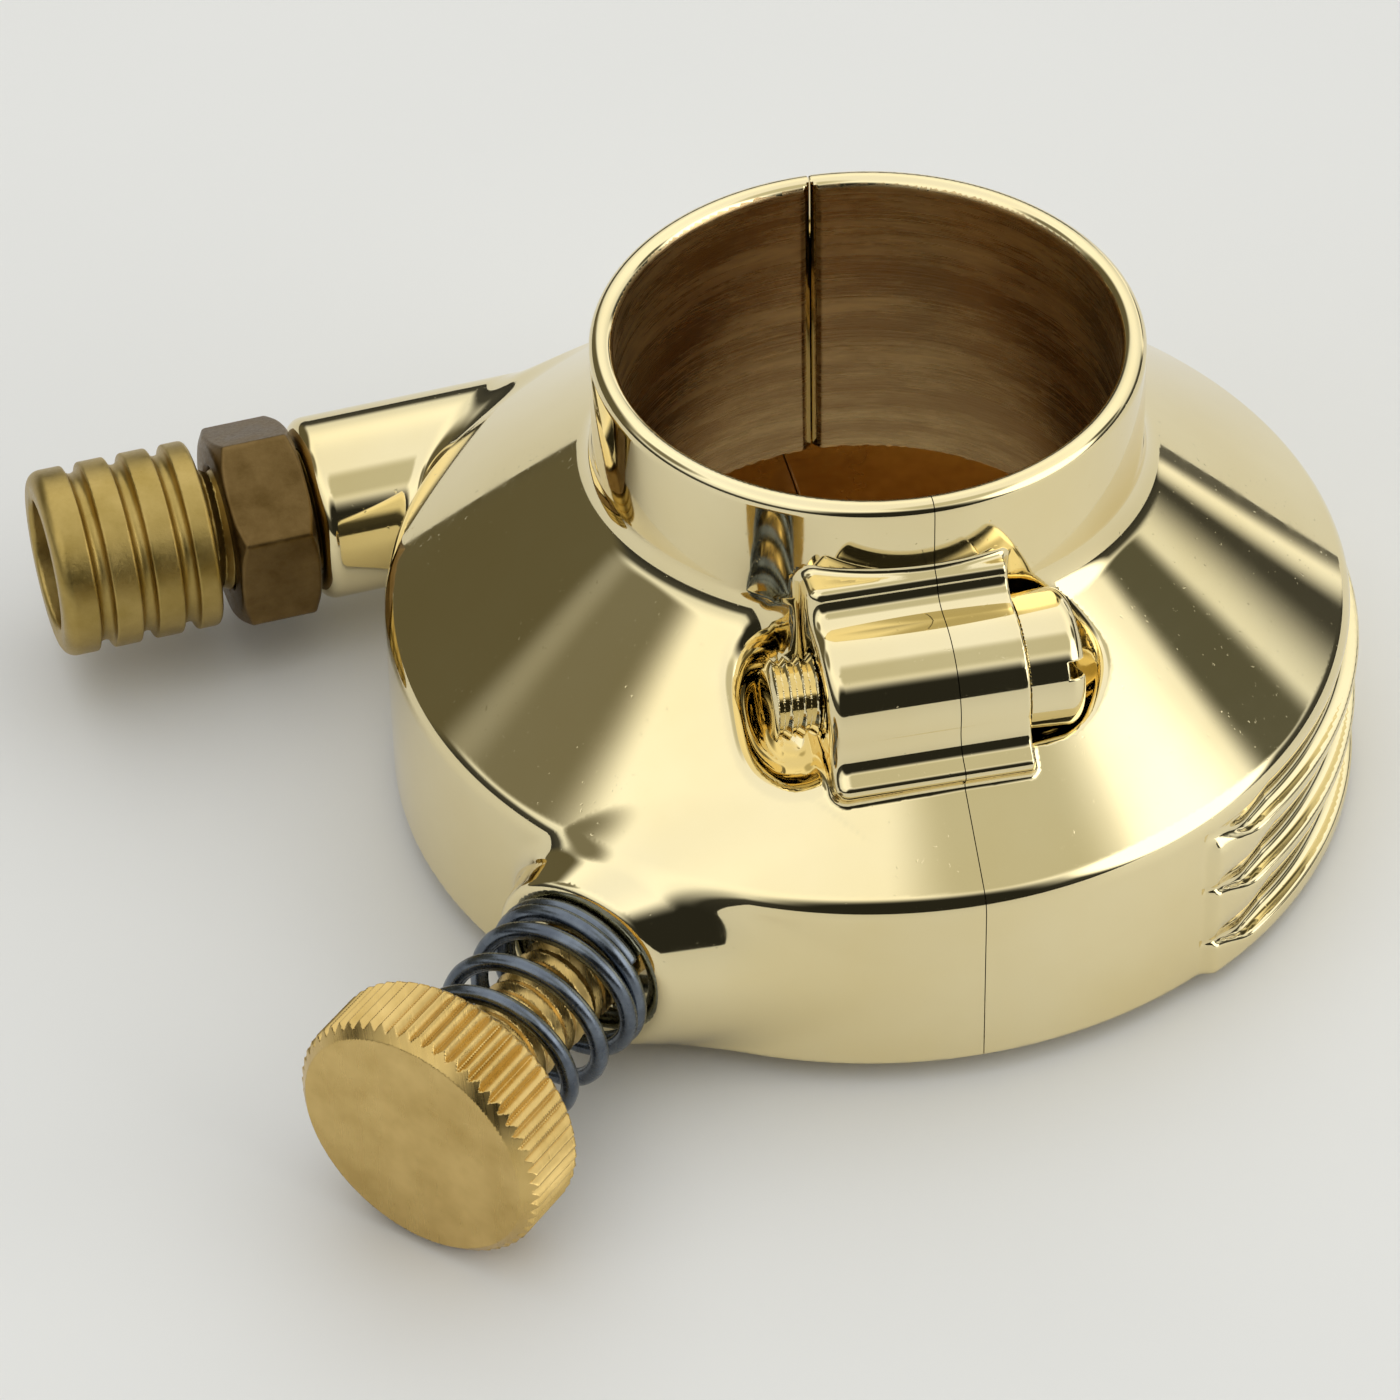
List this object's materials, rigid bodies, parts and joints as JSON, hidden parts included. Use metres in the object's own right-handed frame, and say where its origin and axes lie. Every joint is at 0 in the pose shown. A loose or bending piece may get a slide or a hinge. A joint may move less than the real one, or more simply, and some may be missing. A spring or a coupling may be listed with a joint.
{
  "type": "handlebar throttle control housing",
  "caption": "Polished brass two-part clamp-on housing with hollow neck, knurled friction screw with spring, and side cable adjuster with lock nut.",
  "frame": {"origin": "centre of the handlebar bore at the flat inboard face", "axes": "+Z along the handlebar out through the neck, -Y to the closed front split, -X to the cable adjuster"},
  "size_m": [0.0803, 0.0708, 0.0343],
  "materials": {
    "polished_brass": "mirror polished",
    "screw_brass": "polished",
    "satin_brass": "turned and brushed",
    "matt_brass": "bead blasted",
    "dark_brass": "tarnished",
    "spring_steel": "oiled, drawn wire",
    "dowel_steel": "ground",
    "liner_leather": "waxed"
  },
  "bodies": {
    "left_half": {"left_shell": "polished_brass", "locating_dowels": "dowel_steel"},
    "right_half": {"right_shell": "polished_brass"},
    "front_screw": {"front_clamp_screw": "screw_brass"},
    "rear_screw": {"rear_clamp_screw": "screw_brass"},
    "shoe": {"friction_shoe": "dowel_steel", "shoe_liner": "liner_leather"},
    "thumb_screw": {"friction_screw": "satin_brass", "tension_spring": "spring_steel"},
    "ferrule": {"cable_ferrule": "dowel_steel"},
    "adjuster": {"cable_adjuster": "matt_brass"},
    "locknut": {"adjuster_locknut": "dark_brass"}
  },
  "joints": [
    {"name": "right_half_slide", "type": "slide", "parent": "left_half", "child": "right_half", "axis": [1, 0, 0], "range_m": [0, 0.0016]},
    {"name": "front_screw_turn", "type": "hinge", "parent": "right_half", "child": "front_screw", "pos_m": [0.0043, -0.0192, 0.0212], "axis": [1, 0, 0], "range_deg": [0, 720]},
    {"name": "rear_screw_turn", "type": "hinge", "parent": "right_half", "child": "rear_screw", "pos_m": [0.0043, 0.0192, 0.0212], "axis": [1, 0, 0], "range_deg": [0, 720]},
    {"name": "shoe_slide", "type": "slide", "parent": "left_half", "child": "shoe", "axis": [-0.7071, -0.7071, 0], "range_m": [-0.0012, 0.0012]},
    {"name": "friction_screw_turn", "type": "hinge", "parent": "shoe", "child": "thumb_screw", "pos_m": [-0.02828, -0.02828, 0.00605], "axis": [-0.7071, -0.7071, 0], "range_deg": [-432, 432], "deforming": ["tension_spring"]},
    {"name": "ferrule_slide", "type": "slide", "parent": "left_half", "child": "ferrule", "axis": [-0.9957, -0.0924, 0], "range_m": [-0.001, 0.003]},
    {"name": "adjuster_turn", "type": "hinge", "parent": "ferrule", "child": "adjuster", "pos_m": [-0.039, 0.0209, 0.007], "axis": [-0.9957, -0.0924, 0], "range_deg": [-360, 1080]},
    {"name": "locknut_turn", "type": "hinge", "parent": "left_half", "child": "locknut", "pos_m": [-0.039, 0.0209, 0.007], "axis": [-0.9957, -0.0924, 0], "range_deg": [0, 60]}
  ],
  "couplings": [
    {"joint": "front_screw_turn", "follows": "right_half_slide", "rad_per_m": 7854},
    {"joint": "rear_screw_turn", "follows": "right_half_slide", "rad_per_m": 7854},
    {"joint": "friction_screw_turn", "follows": "shoe_slide", "rad_per_m": 6283.2},
    {"joint": "adjuster_turn", "follows": "ferrule_slide", "rad_per_m": 6283.2}
  ]
}
